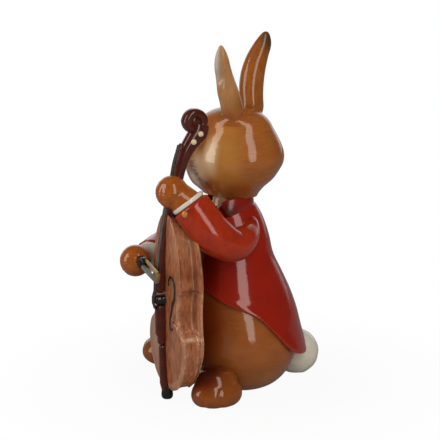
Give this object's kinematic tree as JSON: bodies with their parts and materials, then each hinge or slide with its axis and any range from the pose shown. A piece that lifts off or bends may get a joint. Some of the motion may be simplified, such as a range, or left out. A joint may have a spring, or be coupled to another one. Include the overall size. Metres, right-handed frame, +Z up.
{
  "type": "ceramic animal figurine",
  "caption": "Glazed ceramic rabbit figurine in a red tailcoat, standing and playing an upright bass with a bow.",
  "frame": {"origin": "centre of the flat disc under the body, on the surface the figurine stands on", "axes": "+Z up; the figure's body faces -Y, its left side is +X and its tail points to +Y"},
  "size_m": [0.0716, 0.0866, 0.1459],
  "materials": {
    "fur_glaze": "painted ceramic under a clear gloss glaze",
    "coat_glaze": "painted ceramic under a clear gloss glaze",
    "collar_glaze": "painted ceramic under a clear gloss glaze",
    "sleeve_glaze": "painted ceramic under a clear gloss glaze",
    "cream_glaze": "painted ceramic under a clear gloss glaze",
    "black_glaze": "painted ceramic under a clear gloss glaze",
    "nose_glaze": "painted ceramic under a clear gloss glaze",
    "gold_glaze": "painted ceramic under a clear gloss glaze",
    "bass_glaze": "painted ceramic under a clear gloss glaze",
    "dark_wood_glaze": "painted ceramic under a clear gloss glaze",
    "grey_glaze": "painted ceramic under a clear gloss glaze"
  },
  "bodies": {
    "root": {"body": "fur_glaze", "coat": "coat_glaze", "collar": "collar_glaze", "tail": "cream_glaze", "left_foot": "fur_glaze", "right_foot": "fur_glaze", "head": "fur_glaze", "left_ear": "fur_glaze", "right_ear": "fur_glaze", "eyes": "black_glaze", "nose": "nose_glaze", "left_sleeve": "sleeve_glaze", "right_sleeve": "sleeve_glaze", "left_cuff": "cream_glaze", "right_cuff": "cream_glaze", "cuff_buttons": "gold_glaze", "left_paw": "fur_glaze", "right_paw": "fur_glaze", "bass_body": "bass_glaze", "f_holes": "black_glaze", "bass_neck": "dark_wood_glaze", "scroll": "dark_wood_glaze", "tuning_pegs": "cream_glaze", "fingerboard": "dark_wood_glaze", "strings": "grey_glaze", "bridge": "black_glaze", "tailpiece": "dark_wood_glaze", "tail_gut": "dark_wood_glaze", "end_pin": "black_glaze", "bow_stick": "grey_glaze", "bow_hair": "cream_glaze", "bow_frog": "black_glaze", "bow_tip": "gold_glaze"}
  },
  "joints": []
}
